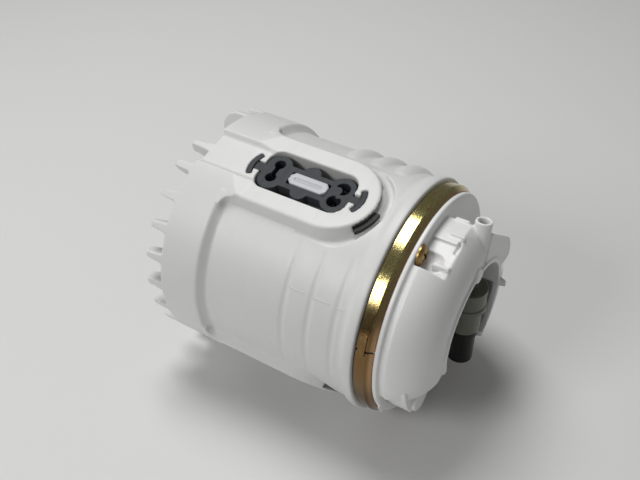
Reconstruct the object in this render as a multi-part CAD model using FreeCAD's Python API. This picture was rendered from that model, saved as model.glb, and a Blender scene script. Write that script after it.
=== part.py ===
"""In-tank fuel pump in its reservoir pot, lying on its side.

The pump's axis is X: the toothed end of the pot is at -X, the domed cover at +X, +Z is up.
The origin is on the axis, in the plane where the clamp band meets the pot's lip.
Angles round the axis are in degrees from +Z towards -Y. Lengths are in millimetres.
"""
import FreeCAD
import Part
import math
import os

V = FreeCAD.Vector
AXIS = V(1, 0, 0)
ORIGIN = V(0, 0, 0)

# Reservoir pot
rim_x = -82.7
collar_r = 47.6
collar_end_x = -66.0
collar_step = 2.8
slope_length = 2.7
barrel_start_x = collar_end_x + slope_length
barrel_r = collar_r - collar_step
pot_wall = 2.6
lip_rise = 1.6
lip_r = barrel_r + lip_rise
lip_width = 4.0
pot_end_x = 2.4
groove_depth = 3.4
groove_r = lip_r - groove_depth
groove_width = 1.1
pot_flange_r = groove_r + 1.0

# Toothed rim
tooth_pitch_deg = 15.0
tooth_first_deg = 13.5
tooth_missing = 23
tooth_special = 22
tooth_length = 7.8
tooth_depth = 8.6
tooth_tip_depth = 4.8
tooth_root_half = 1.9
tooth_tip_half = 1.2
tooth_sink = 1.2
flat_tooth_depth = 7.4
flat_tooth_tip_depth = 4.8
flat_tooth_extra = 1.4
long_tooth_length = 10.7

# Ribs and grooves between the damper frames
rib_pitch = 10.2
rib_first_x = -34.5
rib_height = 2.0
rib_count = 3
rib_middle_deg = -46.5
rib_sink = 9.0
rib_skirt = 0.5
rib_overlap = 0.3
front_groove_depth = 0.45
front_groove_width = 3.2
front_groove_first_x = -29.8
front_groove_shift = 1.75
front_groove_deg = 76.0
front_groove_half_deg = 46.0

# Damper frames
frame_first_deg = 13.5
frame_count = 3
frame_pitch_deg = 360.0 / frame_count
frame_rise = 0.7
frame_face_h = barrel_r + frame_rise
frame_half_width = 16.2
frame_draft = 0.36
frame_end_x = -28.1
frame_edge_round = 0.9
frame_edge_rise = 1.4
plate_t = 3.0
frame_wall = 2.8
frame_depth = 9.5
ramp_length = 12.0
trench_width = 4.4
trench_drop = 5.0
undercut_deg = 39.0
undercut_height = 2.1
corner_r = 4.0
flat_bottom_half = 7.2
flat_top_half = 9.6
flat_drop = 0.5
flat_end_x = -58.0

# Rubber damper pads and the windows that hold them
lobe_left_x = -53.8
lobe_right_x = -27.0
lobe_r = 5.0
lobe_half_gap = 3.2
pad_top_drop = 1.2
head_top_drop = 0.5
pad_t = 4.4
pad_bar_half = 5.1
bump_r = 3.5
bump_offset = 4.5
bump_x = -40.5
head_r_in = 8.5
head_r_out = 10.5
head_half_deg = 31.0
neck_half = 1.9
pad_gap = 0.15
window_half = 9.25
window_wall = 2.0
hole_r = 2.0
hole_near_u = 2.9
hole_far_u = -3.8
hole_slot_half = 0.8

# Pump carrier
pump_drop = 4.0
can_r = 19.0
sleeve_gap = 1.6
sleeve_r_in = can_r + sleeve_gap
sleeve_wall = 2.0
sleeve_x0 = -76.0
sleeve_x1 = -22.0
tongue_x0 = -47.2
tongue_x1 = -31.4
tongue_half = 2.75
tongue_drop = 0.8
tongue_chamfer = 1.5
tongue_groove_x0 = 1.9
tongue_groove_x1 = 2.7
tongue_groove_half = 0.45
tongue_groove_depth = 0.6
deck_x = -74.0
deck_t = 2.0
deck_gap = 2.8
deck_rib_count = 6
deck_rib_length = 14.0
deck_rib_t = 1.8
deck_slot_r0 = 30.0
deck_slot_width = 7.0

# Clamp band
band_drop = 1.4
band_r = lip_r - band_drop
band_t = 0.9
band_x0 = 0.1
band_flat_x1 = 4.4
band_x1 = 6.5
band_roll = 1.7
band_edge_r = band_r - band_roll
band_gap_deg = 1.2
band_joint_deg = 75.0
band_joint_span_deg = 7.0

# Cover
seal_t = 1.0
cover_wall = 2.2
cover_running = 0.05
cover_flange_r = pot_flange_r - cover_running
cover_drop = 1.45
cover_rim_x = 8.3
cover_rim_r = band_edge_r - 0.1
floor_x = 8.5
rim_groove_r = cover_rim_r - 1.3
dome_start_x = 10.8
dome_start_r = cover_rim_r - 1.0
dome_mid_x = 19.7
dome_mid_r = dome_start_r - 4.9
dome_end_x = 24.6
ring_r_in = 22.6
ring_wall = 2.4
ring_r_out = ring_r_in + ring_wall
ring_x = 25.3
dome_shoulder_r = ring_r_out + 2.7
dome_end_r = ring_r_out - 0.4
side_recess = (-86.0, -7.0)
low_recess = (107.0, 215.0)
low_ring_x = 11.0
bulkhead_x0 = 3.6
bulkhead_t = 2.0

# Screws and the stepped block beside the first one
screw_degs = (24.5, 204.5)
pot_bore_r = barrel_r - pot_wall
screw_r = pot_bore_r - 2.5
screw_head_r = 3.9
screw_head_t = 2.0
screw_shank_r = 1.9
screw_length = 14.0
boss_r = 3.8
boss_length = 12.0
boss_web_half = 1.4
driver_r = 4.3
driver_length = 4.6
block_degs = (-7.0, 11.0)
block_r = dome_start_r - 3.4
channel_degs = (11.0, 31.0)
channel_r = screw_r - 2.0
block_rib_degs = (-6.5, 6.0)
block_rib_x = ((11.7, 16.8), (13.5, 19.0))
block_rib_t = 1.0
block_rib_height = 0.9
channel_rib_deg = 25.6
channel_rib_x = (12.8, 19.5)
channel_rib_height = 1.2
slit_x = (17.7, 18.6)
slit_degs = (8.5, 16.0)
slit_depth = 1.0

# Hose socket, guard plate and lugs on the cover
socket_x = 21.0
socket_deg = -9.5
socket_r = 3.1
socket_bore_r = 2.1
socket_tip_r = 40.8
socket_root_r = ring_r_in + 0.6
guard_x0 = 22.4
guard_t = 2.4
nib_deg = -88.0
nib_length = 2.8
lug_degs = (100.0, 125.5)
lug_r = 40.0
lug_r_in = 30.0
lug_x0 = 10.0
lug_x1 = 18.0
lug_lean = 2.5
lug_hook_t = 2.0
tab_deg = 119.5
tab_half = 3.0
tab_r = 44.3
rim_tab_deg = 6.0
rim_tab_r = 2.6

# Jet pump
jet_x = 19.4
jet_y = 7.0
jet_r = 6.8
jet_z1 = 9.0
jet_neck_r = 3.0
jet_flange_z = 1.2
jet_flange_r = 7.2
jet_flange_t = 2.4
jet_tail_r = 5.9
jet_tail_z = -11.5
jet_bore_r = 1.8
sleeve_black_r = 5.0
sleeve_black_z = -28.0
sleeve_black_t = 1.3
jet_foot_r = 4.0

# Motor and pump
can_t = 1.2
can_x0 = -78.0
can_x1 = -16.0
crimp_depth = 1.6
cap_shoulder_t = 3.0
cap_plug_x1 = -68.0
brush_ring_x1 = -59.4
shaft_r = 2.0
shaft_running = 0.05
bush_r = 4.2
bush_length = 5.0
inlet_bush_length = 3.5
commutator_r = 6.0
commutator_x0 = -66.5
commutator_x1 = -58.8
core_r = 11.2
core_x0 = -54.5
core_x1 = -33.0
core_slots = 8
slot_width = 2.2
slot_depth = 4.6
winding_r = 10.4
winding_x = 4.2
magnet_r_in = 12.0
magnet_half_deg = 62.0
magnet_x0 = -57.0
magnet_x1 = -29.0
chamber_x0 = -28.2
chamber_x1 = -21.0
impeller_r = 14.6
impeller_t = 2.6
impeller_gap = 0.15
impeller_rim_gap = 0.2
vane_count = 24
vane_depth = 2.2
vane_slot = 1.3
inlet_offset = 9.0
inlet_r = 5.0
inlet_bore_r = 3.4
inlet_length = 8.0
brush_width = 4.4
brush_x0 = -65.4
brush_x1 = -60.6
brush_r1 = 12.0
spring_wire_r = 0.3
brush_spring_r = 1.6

# Outlet end of the pump
outlet_offset = 9.5
outlet_r = 4.2
outlet_bore_r = 3.0
outlet_tip_x = -90.5
barb_root_r = 3.6
barb_count = 2
barb_pitch = 2.6
valve_head_r = 2.6
valve_head_x = -79.6
valve_stem_r = 0.8
valve_running = 0.05
valve_spring_length = 6.0
seat_bore_r = 1.8
relief_offset = -10.0
relief_bore_r = 2.4
relief_seat_x = -74.0
relief_length = 3.0
relief_spring_length = 5.2
guide_t = 1.0
terminal_y = 8.5
terminal_width = 5.0
terminal_t = 0.8
terminal_tip_x = -90.0

# Rubber rings, inlet strainer and foot valve
can_ring_upper_x = -70.0
can_ring_lower_x = -30.0
can_ring_width = 4.0
ring_running = 0.05
strainer_r = 9.6
strainer_end_x = -1.5
strainer_wall = 0.8
strainer_rib_count = 8
strainer_stand = 3.0
foot_y = -12.5
foot_z = -14.0
foot_disc_r = 7.0
foot_disc_t = 0.9
foot_stem_r = 1.3
foot_hole_r = 1.7
foot_hole_ring = 4.0
foot_tail_length = 3.0

sleeve_r = sleeve_r_in + sleeve_wall


def save(shape, node):
    shape.exportStep(os.path.join("parts", node + ".step"))


def save_pump(shape, node):
    """Save a part of the inner pump, which is made on the axis and sits lower in the pot."""
    lowered = shape.copy()
    lowered.translate(V(0, 0, -pump_drop))
    save(lowered, node)


def at_angle(shape, deg):
    """The shape, made at the top of the pump, turned to its angle round the axis."""
    turned_shape = shape.copy()
    turned_shape.rotate(ORIGIN, AXIS, deg)
    return turned_shape


def radial(deg, r):
    return V(0, -r * math.sin(math.radians(deg)), r * math.cos(math.radians(deg)))


def fused(first, *others):
    shape = first
    for other in others:
        shape = shape.fuse(other)
    return shape.removeSplitter()


def edges_of(points, place):
    """Edges through the points; an item of two points is an arc through the first to the second."""
    edges = []
    last = points[0]
    for item in points[1:] + [points[0]]:
        if isinstance(item[0], tuple):
            middle, end = item
            edges.append(Part.Arc(place(*last), place(*middle), place(*end)).toShape())
        else:
            end = item
            if math.dist(last, end) > 1e-6:
                edges.append(Part.LineSegment(place(*last), place(*end)).toShape())
        last = end
    return edges


def turned(points, sweep=360.0, start=0.0):
    """A profile of (x, r) points turned round the axis."""
    face = Part.Face(Part.Wire(edges_of(points, lambda x, r: V(x, 0, r))))
    return at_angle(face.revolve(ORIGIN, AXIS, sweep), start)


def ring(x0, x1, r_out, r_in=0.0):
    solid = Part.makeCylinder(r_out, x1 - x0, V(x0, 0, 0), AXIS)
    if r_in > 0:
        solid = solid.cut(Part.makeCylinder(r_in, x1 - x0, V(x0, 0, 0), AXIS))
    return solid


def sector(x0, x1, r0, r1, degs):
    """A block between two radii and two angles."""
    return turned([(x0, r0), (x1, r0), (x1, r1), (x0, r1)], degs[1] - degs[0], degs[0])


def slab(points, h0, h1):
    """An outline of (x, u) points at the top of the pump, u towards -Y, from height h0 to h1."""
    wire = Part.Wire(edges_of(points, lambda x, u: V(x, -u, h0)))
    return Part.Face(wire).extrude(V(0, 0, h1 - h0))


def post(x, u, r, h0, h1):
    return Part.makeCylinder(r, h1 - h0, V(x, -u, h0), V(0, 0, 1))


def block(x0, x1, y0, y1, z0, z1):
    return Part.makeBox(x1 - x0, y1 - y0, z1 - z0, V(x0, y0, z0))


def round_ended(x0, x1, half):
    """Outline with square corners at x0 and a full round end that is centred at x1."""
    return [(x0, -half), (x1, -half), ((x1 + half, 0), (x1, half)), (x0, half)]


def frame_degs():
    return [frame_first_deg + frame_pitch_deg * k for k in range(frame_count)]


# Reservoir housing
def pot_shell():
    collar_bore = collar_r - pot_wall
    lip_x0 = -lip_width
    outer = [
        (rim_x, collar_r),
        (collar_end_x - 0.8, collar_r),
        ((collar_end_x + 0.1, collar_r - 0.3), (collar_end_x + 0.7, collar_r - 1.0)),
        (barrel_start_x - 0.5, barrel_r + 0.35),
        ((barrel_start_x - 0.2, barrel_r + 0.1), (barrel_start_x + 0.4, barrel_r)),
        (lip_x0 - 4.2, barrel_r),
        ((lip_x0 - 1.2, barrel_r + 0.4), (lip_x0, lip_r - 0.3)),
        ((lip_x0 + 1.6, lip_r), (-0.5, lip_r)),
        (-0.1, lip_r - 0.4),
        (-0.1, groove_r),
        (groove_width, groove_r),
        (groove_width, pot_flange_r),
        (pot_end_x, pot_flange_r),
    ]
    inner = [
        (pot_end_x, pot_bore_r),
        (barrel_start_x - 1.0, pot_bore_r),
        (collar_end_x - 1.0, collar_bore),
        (rim_x, collar_bore),
    ]
    return turned(outer + inner)


def fading_rib(x):
    """A round rib across the barrel that sinks into it at both ends."""
    half = rib_pitch / 2.0 + rib_overlap
    crest = barrel_r + rib_height
    side = barrel_r - rib_skirt
    inner = crest - 2.6 * rib_height
    sink = V(0, 0, rib_sink)
    points = [
        (x - half, side),
        ((x, crest), (x + half, side)),
        (x + half, inner),
        (x - half, inner),
    ]
    face = Part.Face(Part.Wire(edges_of(points, lambda px, pr: V(px, 0, pr))))
    face.rotate(sink, AXIS, -38.0)
    rib = face.revolve(sink, AXIS, 76.0)
    return at_angle(rib, rib_middle_deg)


def ribs():
    return [fading_rib(rib_first_x + rib_pitch * k) for k in range(rib_count)]


def front_grooves():
    """Shallow round grooves on the side between two frames, that fade out at both ends."""
    half = front_groove_width / 2.0
    centre = V(0, 0, -front_groove_shift)
    bottom = barrel_r - front_groove_depth
    side = barrel_r + 0.15
    grooves = []
    for k in range(rib_count):
        x = front_groove_first_x + rib_pitch * k
        points = [
            (x - half, barrel_r + 2.0),
            (x - half, side),
            ((x, bottom), (x + half, side)),
            (x + half, barrel_r + 2.0),
        ]
        face = Part.Face(Part.Wire(edges_of(points, lambda px, pr: V(px, 0, pr))))
        face.rotate(centre, AXIS, -front_groove_half_deg)
        groove = face.revolve(centre, AXIS, 2 * front_groove_half_deg)
        grooves.append(at_angle(groove, front_groove_deg))
    return grooves


def tooth_blade(points, root_x, tip_x):
    """Tooth of the (x, r) outline; both its sides lean in towards the tip."""
    face = Part.Face(Part.Wire(edges_of(points, lambda x, r: V(x, -tooth_root_half, r))))
    blade = face.extrude(V(0, 2 * tooth_root_half, 0))
    plan = [
        (root_x + 0.1, -tooth_root_half),
        (rim_x, -tooth_root_half),
        (tip_x - 0.2, -tooth_tip_half),
        (tip_x - 0.2, tooth_tip_half),
        (rim_x, tooth_root_half),
        (root_x + 0.1, tooth_root_half),
    ]
    return blade.common(slab(plan, collar_r - 14.0, collar_r + 1.0))


def tooth(deg, length, top, depth, tip_depth):
    """A radial tooth on the rim, thick and deep at its root, thin and rounded at its tip."""
    root_x = rim_x + tooth_sink
    tip_x = rim_x - length
    low_tip = top - tip_depth
    low_root = top - depth
    points = [
        (root_x, top),
        (tip_x + 1.8, top),
        ((tip_x + 0.5, top - 0.5), (tip_x, top - 1.8)),
        (tip_x, low_tip + 0.8),
        ((tip_x + 0.25, low_tip + 0.2), (tip_x + 0.9, low_tip)),
        (((tip_x + rim_x) / 2.0 + 0.6, (low_tip + low_root) / 2.0 + 0.5), (rim_x, low_root)),
        (root_x, low_root),
    ]
    return at_angle(tooth_blade(points, root_x, tip_x), deg)


def long_tooth(deg):
    """The one longer tooth with a full round end."""
    top = collar_r
    root_x = rim_x + tooth_sink
    points = [
        (root_x, top),
        (rim_x - 5.0, top - 0.1),
        ((rim_x - 8.2, top - 1.6), (rim_x - 10.2, top - 3.9)),
        ((rim_x - long_tooth_length, top - 6.2), (rim_x - 10.4, top - 8.2)),
        ((rim_x - 9.8, top - 9.2), (rim_x - 8.8, top - 9.6)),
        (rim_x, top - 9.1),
        (root_x, top - 9.1),
    ]
    return at_angle(tooth_blade(points, root_x, rim_x - long_tooth_length), deg)


def teeth():
    made = []
    flats = [round(deg, 3) for deg in frame_degs()]
    for k in range(int(round(360.0 / tooth_pitch_deg))):
        deg = tooth_first_deg + tooth_pitch_deg * k
        if k == tooth_missing:
            continue
        if k == tooth_special:
            made.append(long_tooth(deg))
        elif round(deg, 3) in flats:
            length = tooth_length + flat_tooth_extra
            made.append(tooth(deg, length, frame_face_h - flat_drop, flat_tooth_depth, flat_tooth_tip_depth))
        else:
            made.append(tooth(deg, tooth_length, collar_r, tooth_depth, tooth_tip_depth))
    return made


def drafted(half, h0, h1):
    """Frame outline as a solid whose sides lean in; half is its half width at the plate's face."""
    x0 = collar_end_x - 2.0

    def section(h):
        grown = half + (frame_face_h - h) * frame_draft
        edges = edges_of(round_ended(x0, frame_end_x, grown), lambda x, u: V(x, -u, h))
        return Part.Wire(edges)

    return Part.makeLoft([section(h0), section(h1)], True, True)


def frame_envelope():
    """Round outer limit of a frame: flush with the collar, then rising clear of the plate."""
    high = collar_r + frame_edge_rise
    rise_x = collar_end_x + 10.0
    return turned([(rim_x, 0), (rim_x, collar_r), (collar_end_x, collar_r), (rise_x, high), (0, high), (0, 0)])


def ramp_outline(low, high):
    """Side view of the ramp from the collar down to the plate, between two heights."""
    x0 = collar_end_x - ramp_length / 3.0
    x1 = x0 + ramp_length
    return x0, x1, [(x0, low), (x0, high), (x1, frame_face_h), (x1, low)]


def damper_frame_body():
    """The raised frame under one damper window, still solid, with a rounded edge."""
    body = drafted(frame_half_width, frame_face_h - frame_depth, frame_face_h)
    rim = [edge for edge in body.Edges if edge_is_plate_rim(edge)]
    body = body.makeFillet(frame_edge_round, rim)
    x0, x1, side = ramp_outline(frame_face_h - 3.0, collar_r + 0.1)
    half = frame_half_width
    face = Part.Face(Part.Wire(edges_of(side, lambda x, h: V(x, -half, h))))
    ramp = face.extrude(V(0, 2 * half, 0))
    inside = ring(x0 - 1.0, collar_end_x - 0.5, collar_r - pot_wall / 2.0)
    return body.fuse(ramp.cut(inside)).common(frame_envelope())


def edge_is_plate_rim(edge):
    heights = [vertex.Point.z for vertex in edge.Vertexes]
    at_face = all(abs(z - frame_face_h) < 1e-6 for z in heights)
    across = all(abs(vertex.Point.x - (collar_end_x - 2.0)) < 1e-6 for vertex in edge.Vertexes)
    return at_face and not across


def corner_fillets():
    """Rounded corners of the side panels, between a frame's sides and the collar."""
    u0 = frame_half_width + 0.8
    x0 = collar_end_x + 1.2
    cx = x0 + corner_r
    pieces = []
    for side in (-1, 1):
        cu = side * (u0 + corner_r)
        outline = [
            (x0 - 1.5, side * (u0 - 1.0)),
            (cx, side * (u0 - 1.0)),
            (cx, side * u0),
            ((cx - corner_r * math.sqrt(0.5), cu - side * corner_r * math.sqrt(0.5)), (x0, cu)),
            (x0 - 1.5, cu),
        ]
        pieces.append(slab(outline, frame_face_h - 6.5, frame_face_h))
    return fused(*pieces).common(ring(x0 - 2.0, cx + 1.0, collar_r + 0.4))


def damper_trench():
    """The valley round the rounded end of a frame."""
    outline = round_ended(frame_end_x - 6.0, frame_end_x, frame_half_width + trench_width)
    floor_h = frame_face_h - trench_drop
    valley = slab(outline, floor_h, frame_face_h + 4.0)
    return valley.cut(drafted(frame_half_width, floor_h - 1.0, frame_face_h + 5.0))


def trench_floor():
    """The wall under the valley."""
    outline = round_ended(frame_end_x - 6.0, frame_end_x, frame_half_width + trench_width + 1.5)
    floor_h = frame_face_h - trench_drop
    body = slab(outline, floor_h - pot_wall - 1.0, floor_h + 3.0)
    return body.common(ring(frame_end_x - 8.0, -2.0, barrel_r - 0.3, 0))


def head_slot(lobe_x, side, gap):
    """T-shaped head of a pad, or the slot for it, on one side of a lobe."""
    grow = math.degrees(gap / head_r_out)
    half = head_half_deg + grow
    r_in = head_r_in - gap
    r_out = head_r_out + gap

    def point(r, deg):
        return (lobe_x + side * r * math.cos(math.radians(deg)), r * math.sin(math.radians(deg)))

    head = [
        point(r_in, -half),
        point(r_out, -half),
        (point(r_out, 0), point(r_out, half)),
        point(r_in, half),
        (point(r_in, 0), point(r_in, -half)),
    ]
    neck_end = lobe_x + side * (r_in + 0.6)
    neck = neck_half + gap
    xs = sorted((lobe_x, neck_end))
    return head, [(xs[0], -neck), (xs[1], -neck), (xs[1], neck), (xs[0], neck)]


def window_outline(grow=0.0):
    """Rounded window; its ends follow the pad's lobes."""
    half = window_half + grow
    r = lobe_r + 0.3 + grow
    x0 = lobe_left_x
    x1 = lobe_right_x
    c = half - r
    k = r * math.sqrt(0.5)
    return [
        (x0, -half),
        (x1, -half),
        ((x1 + k, -c - k), (x1 + r, -c)),
        (x1 + r, c),
        ((x1 + k, c + k), (x1, half)),
        (x0, half),
        ((x0 - k, c + k), (x0 - r, c)),
        (x0 - r, -c),
        ((x0 - k, -c - k), (x0, -half)),
    ]


def window_collar():
    """White wall round the window, down into the pocket."""
    return slab(window_outline(window_wall), frame_face_h - frame_depth, frame_face_h - plate_t + 0.2)


def window_cut():
    h1 = frame_face_h + 1.0
    slot_h0 = frame_face_h - pad_top_drop - pad_t - pad_gap
    tools = [slab(window_outline(), frame_face_h - frame_depth - 1.0, h1)]
    for lobe_x, side in ((lobe_left_x, -1), (lobe_right_x, 1)):
        for outline in head_slot(lobe_x, side, pad_gap):
            tools.append(slab(outline, slot_h0, h1))
    return fused(*tools)


def pocket_cut():
    """The hollow behind the frame's plate, open to the inside of the pot."""
    half = frame_half_width - frame_wall
    outline = round_ended(collar_end_x + 0.5, frame_end_x, half)
    return slab(outline, pot_bore_r - 14.0, frame_face_h - plate_t)


def undercut():
    """The slot under the rim of the plate's rounded end, that the mould's core leaves."""
    low = frame_face_h - plate_t
    r0 = frame_half_width - frame_wall - 0.6
    r1 = frame_half_width + 2.0
    half = math.radians(undercut_deg)

    def point(r, a):
        return (frame_end_x + r * math.cos(a), r * math.sin(a))

    outline = [
        point(r0, -half),
        point(r1, -half),
        (point(r1, 0), point(r1, half)),
        point(r0, half),
        (point(r0, 0), point(r0, -half)),
    ]
    return slab(outline, low - 0.1, low + undercut_height)


def collar_flat():
    """The shallow flat that leads over the collar to the window, and the ramp beside it."""
    bottom = frame_face_h - flat_drop
    top = collar_r + 0.4
    section = [
        (-flat_bottom_half, bottom),
        (-flat_top_half, top),
        (flat_top_half, top),
        (flat_bottom_half, bottom),
    ]
    face = Part.Face(Part.Wire(edges_of(section, lambda u, h: V(rim_x - 0.1, -u, h))))
    low = face.extrude(V(flat_end_x - rim_x + 0.1, 0, 0))
    x0, x1 = ramp_outline(frame_face_h, collar_r + 0.1)[:2]
    end_x = frame_end_x + frame_half_width + trench_width
    above = [(x0, collar_r + 0.1), (x1, frame_face_h), (end_x, frame_face_h), (end_x, top + 6.0), (x0, top + 6.0)]
    half = frame_half_width + trench_width
    face = Part.Face(Part.Wire(edges_of(above, lambda x, h: V(x, -half, h))))
    return fused(low, face.extrude(V(0, 2 * half, 0)))


def screw_boss(deg):
    x0 = pot_end_x - boss_length
    solid = Part.makeCylinder(boss_r, boss_length, V(x0, 0, screw_r), AXIS)
    web = block(x0, pot_end_x, -boss_web_half, boss_web_half, screw_r, pot_bore_r + 1.0)
    hole = Part.makeCylinder(screw_shank_r, boss_length, V(x0 + 1.0, 0, screw_r), AXIS)
    inside = ring(x0 - 1.0, pot_end_x, pot_bore_r + 0.8)
    return at_angle(solid.fuse(web).common(inside).cut(hole), deg)


def reservoir_housing():
    shell = pot_shell()
    for groove in front_grooves():
        shell = shell.cut(groove)
    adds = ribs() + teeth()
    bodies = []
    cuts = []
    for deg in frame_degs():
        cuts.append(at_angle(damper_trench(), deg))
        cuts.append(at_angle(collar_flat(), deg))
        bodies.append(at_angle(trench_floor(), deg))
        bodies.append(at_angle(damper_frame_body(), deg))
        bodies.append(at_angle(corner_fillets(), deg))
    pot = shell.multiFuse(adds)
    pot = pot.cut(ring(barrel_start_x + 1.0, 4.0, pot_bore_r))
    pot = pot.multiFuse(bodies)
    pot = pot.cut(cuts)
    hollows = []
    for deg in frame_degs():
        hollows += [at_angle(pocket_cut(), deg), at_angle(undercut(), deg)]
    pot = pot.cut(hollows)
    pot = pot.multiFuse([at_angle(window_collar(), deg) for deg in frame_degs()])
    pot = pot.cut([at_angle(window_cut(), deg) for deg in frame_degs()])
    return fused(pot, *[screw_boss(deg) for deg in screw_degs])


# Damper pads
def pad_hole(x, u, r):
    return post(x, u, r, 0, collar_r * 2.0)


def damper_pad(deg):
    """Pad of two pairs of lobes on a bar, with a T head at each end that hooks into the plate."""
    top = frame_face_h - pad_top_drop
    low = top - pad_t
    head_top = frame_face_h - head_top_drop
    pieces = []
    for lobe_x, side in ((lobe_left_x, -1), (lobe_right_x, 1)):
        for u in (-lobe_half_gap, lobe_half_gap):
            pieces.append(post(lobe_x, u, lobe_r, low, top))
        head, neck = head_slot(lobe_x, side, 0.0)
        pieces.append(slab(head, low, head_top))
        pieces.append(slab(neck, low, top))
    bar = [
        (lobe_left_x, -pad_bar_half),
        (lobe_right_x, -pad_bar_half),
        (lobe_right_x, pad_bar_half),
        (lobe_left_x, pad_bar_half),
    ]
    pieces.append(slab(bar, low, top))
    for u in (-bump_offset, bump_offset):
        pieces.append(post(bump_x, u, bump_r, low, top))
    pad = fused(*pieces)
    waist = hole_slot_half
    far = collar_r * 2.0
    dumbbell = [
        pad_hole(lobe_left_x, hole_far_u, hole_r),
        pad_hole(lobe_left_x, hole_near_u, hole_r),
        slab(
            [
                (lobe_left_x - waist, hole_far_u),
                (lobe_left_x + waist, hole_far_u),
                (lobe_left_x + waist, hole_near_u),
                (lobe_left_x - waist, hole_near_u),
            ],
            0,
            far,
        ),
    ]
    crescent = pad_hole(lobe_right_x + 0.3, -lobe_half_gap + 0.2, 2.7)
    crescent = crescent.cut(pad_hole(lobe_right_x - 1.2, -lobe_half_gap + 1.6, 1.9))
    heart = pad_hole(lobe_right_x, lobe_half_gap, 2.5)
    heart = heart.cut(pad_hole(lobe_right_x + 0.4, lobe_half_gap - 2.5, 1.0))
    slot = [
        (tongue_x0 - 0.1, -tongue_half - 0.1),
        (tongue_x1 + 0.1, -tongue_half - 0.1),
        (tongue_x1 + 0.1, tongue_half + 0.1),
        (tongue_x0 - 0.1, tongue_half + 0.1),
    ]
    pad = pad.cut(dumbbell + [crescent, heart, slab(slot, 0, far)])
    return at_angle(pad, deg)


# Pump carrier
def tongue(deg):
    """Arm from the carrier's sleeve through the pad, with a chamfered grooved end."""
    top = frame_face_h - tongue_drop
    chamfer = tongue_chamfer
    outline = [
        (tongue_x0 + chamfer, -tongue_half),
        (tongue_x1 - chamfer, -tongue_half),
        (tongue_x1, -tongue_half + chamfer),
        (tongue_x1, tongue_half - chamfer),
        (tongue_x1 - chamfer, tongue_half),
        (tongue_x0 + chamfer, tongue_half),
        (tongue_x0, tongue_half - chamfer),
        (tongue_x0, -tongue_half + chamfer),
    ]
    arm = slab(outline, sleeve_r - pump_drop - 2.0, top)
    half = tongue_groove_half
    x0 = tongue_x0 + tongue_groove_x0
    x1 = tongue_x1 - tongue_groove_x1
    groove = block(x0, x1, -half, half, top - tongue_groove_depth, top + 1.0)
    return at_angle(arm.cut(groove), deg)


def carrier_sleeve(r, x0, x1):
    return Part.makeCylinder(r, x1 - x0, V(x0, 0, -pump_drop), AXIS)


def pump_carrier():
    """Sleeve round the pump with a deck at its outlet end and three arms to the pads."""
    deck_r = collar_r - pot_wall - deck_gap
    deck_x1 = deck_x + deck_t
    body = carrier_sleeve(sleeve_r, sleeve_x0, sleeve_x1)
    pieces = [ring(deck_x, deck_x1, deck_r), ring(deck_x, deck_x1 + 3.0, deck_r, deck_r - 1.8)]
    half = deck_rib_t / 2.0
    r0 = sleeve_r - pump_drop - 1.0
    for k in range(deck_rib_count):
        rib = block(deck_x1 - 0.5, deck_x + deck_rib_length, -half, half, r0, sleeve_r + 8.0)
        pieces.append(at_angle(rib, 30.0 + 360.0 / deck_rib_count * k))
    for deg in frame_degs():
        pieces.append(tongue(deg))
    body = body.multiFuse(pieces)
    cuts = [carrier_sleeve(sleeve_r_in, sleeve_x0 - 1, sleeve_x1 + 1)]
    for k in range(frame_count):
        start = frame_first_deg + frame_pitch_deg * k + 32.0
        degs = (start, start + 56.0)
        cuts.append(sector(deck_x - 1, deck_x1 + 1, deck_slot_r0, deck_slot_r0 + deck_slot_width, degs))
    return body.cut(cuts).removeSplitter()


# Clamp band
def clamp_band():
    """Formed band with a rolled-in edge on each side and its hooked joint."""
    slope = V(band_x1 - band_flat_x1, band_edge_r - band_r, 0).normalize()
    inward = V(slope.y, -slope.x, 0) * band_t
    end_in = (band_x1 + inward.x, band_edge_r + inward.y)
    r_in = band_r - band_t
    run = (end_in[1] - r_in) / slope.y
    bend_in = (end_in[0] - slope.x * run, r_in)
    profile = [
        (band_x0, groove_r + 0.1),
        (band_x0, band_r - 0.3),
        (band_x0 + 0.3, band_r),
        (band_flat_x1, band_r),
        (band_x1, band_edge_r),
        end_in,
        bend_in,
        (band_x0 + band_t, r_in),
        (band_x0 + band_t, groove_r + 0.1),
    ]
    band = turned(profile, 360.0 - band_gap_deg, band_joint_deg + band_gap_deg)
    start = band_joint_deg - band_joint_span_deg
    tongue_strip = sector(
        band_x0 + 1.0, band_flat_x1 - 0.6, band_r - 0.05, band_r + 0.5, (start, band_joint_deg + 3.0)
    )
    return fused(band, tongue_strip)


# Cover
def dome_outline(offset):
    """Outer line of the cover from its rim to its opening, or the line inside its wall."""
    end_r = dome_shoulder_r - 0.3 * offset
    return [
        (dome_start_x, dome_start_r - offset),
        ((dome_mid_x - 0.66 * offset, dome_mid_r - 0.75 * offset), (dome_end_x - offset, end_r)),
        (dome_end_x - offset, dome_end_r - 0.2 * offset),
    ]


def recess_sectors(x0, grow):
    """Steps cut into the dome: the open side, the low side, the block and the screw's channel."""
    shapes = []
    steps = [
        (side_recess, ring_r_out - grow * 1.2),
        (low_recess, ring_r_out - grow * 1.2),
        (block_degs, block_r - grow),
        (channel_degs, channel_r - grow),
    ]
    turn = math.degrees(grow / 34.0)
    far = 2.0 * collar_r
    for degs, r in steps:
        shapes.append(sector(x0, far, r, far, (degs[0] - turn, degs[1] + turn)))
    return shapes


def driver_channel(x0, grow):
    """Round trough beside the screw's head, with a ball end."""
    r = driver_r + grow
    x1 = floor_x + driver_length
    trough = Part.makeCylinder(r, x1 - x0, V(x0, 0, screw_r), AXIS)
    return at_angle(trough.fuse(Part.makeSphere(r, V(x1, 0, screw_r))), screw_degs[0])


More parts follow.
